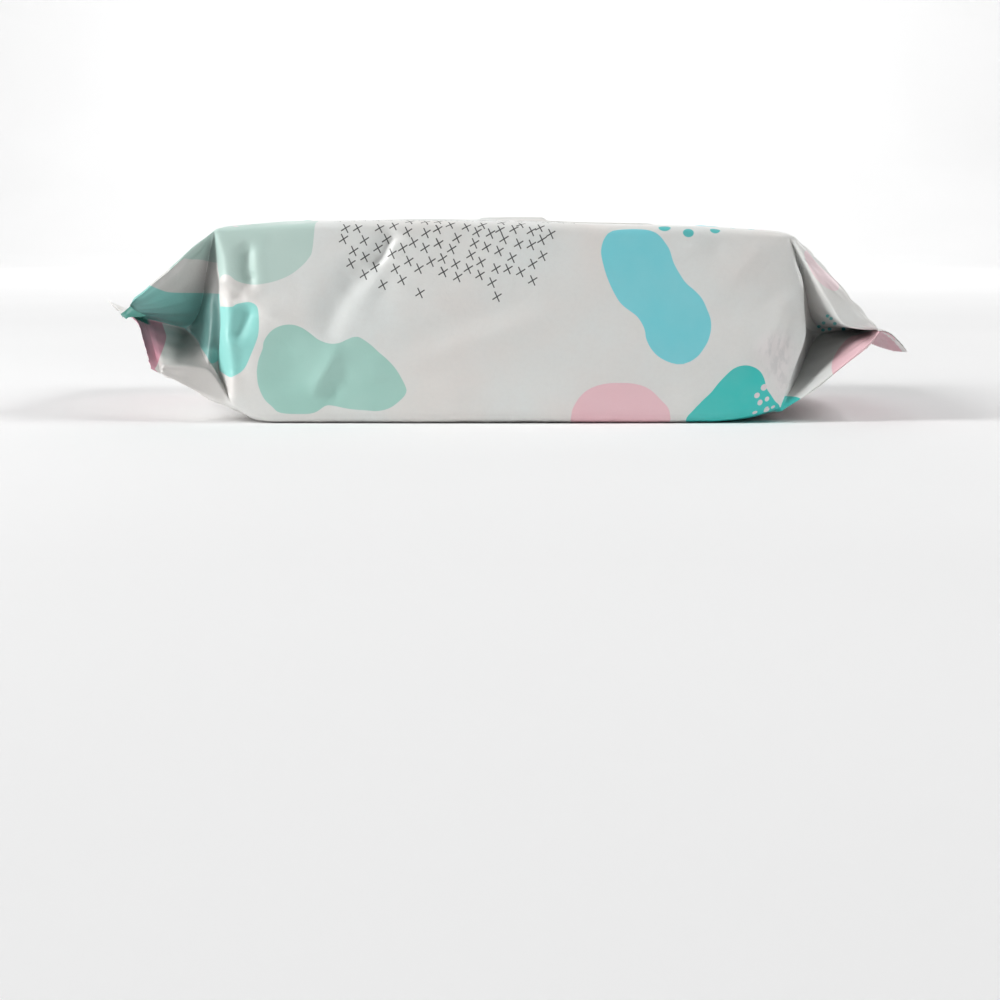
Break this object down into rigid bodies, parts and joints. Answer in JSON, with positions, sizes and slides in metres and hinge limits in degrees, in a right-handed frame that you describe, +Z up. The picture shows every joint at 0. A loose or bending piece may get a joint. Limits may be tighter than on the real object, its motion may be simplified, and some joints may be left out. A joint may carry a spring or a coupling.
{
  "type": "wet wipes pack",
  "caption": "Soft film pouch of folded wet wipes with gusseted, crimped ends and an adhesive reseal label on its top panel.",
  "frame": {"origin": "middle of the pack's outline, on the surface it lies on", "axes": "+X along the length, towards the right-hand seal; -Y towards the front long side; +Z up through the reseal label"},
  "size_m": [0.226, 0.102, 0.0557],
  "materials": {
    "printed_film": "satin printed film",
    "label_film": "smooth label film"
  },
  "bodies": {
    "root": {"wipes_pouch": "printed_film", "reseal_label": "label_film"}
  },
  "joints": []
}
